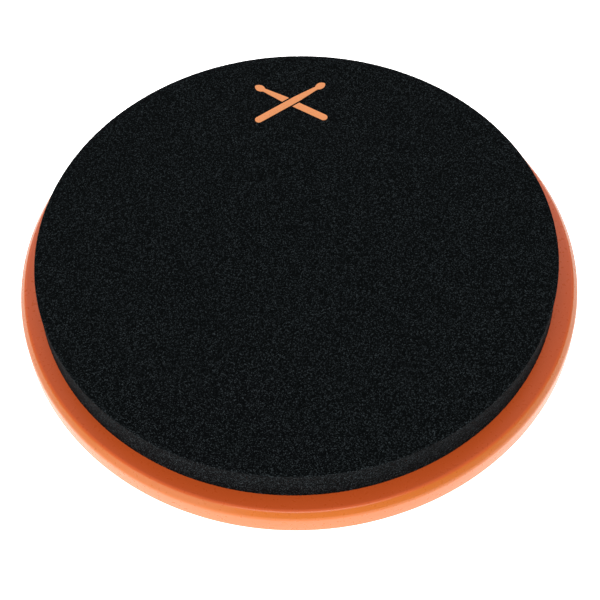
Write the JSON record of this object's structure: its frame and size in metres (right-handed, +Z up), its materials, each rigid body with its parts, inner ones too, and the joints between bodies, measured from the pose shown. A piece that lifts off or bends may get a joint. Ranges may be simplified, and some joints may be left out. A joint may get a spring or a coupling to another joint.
{
  "type": "practice pad",
  "caption": "Round drum practice pad: a thick foam-rubber playing disc bonded to a larger lacquered board, with a non-slip mat and a threaded stand insert underneath.",
  "frame": {"origin": "middle of the non-slip mat's underside, on the surface that the pad rests on", "axes": "+Z up through the middle of the round stack, +Y towards the printed mark (the player sits on the -Y side)"},
  "size_m": [0.305, 0.305, 0.0406],
  "materials": {
    "mat_rubber": "moulded, matte, ribbed",
    "bond_film": "dried contact adhesive, satin",
    "board_lacquer": "fibreboard sprayed with satin orange lacquer",
    "insert_brass": "turned, satin",
    "foam_rubber": "closed-cell foam rubber, matte, finely pored",
    "mark_ink": "pad-printed ink, matte"
  },
  "bodies": {
    "root": {"grip_mat": "mat_rubber", "grip_adhesive": "bond_film", "base_board": "board_lacquer", "thread_insert": "insert_brass", "foam_adhesive": "bond_film", "foam_pad": "foam_rubber", "printed_mark": "mark_ink"}
  },
  "joints": []
}
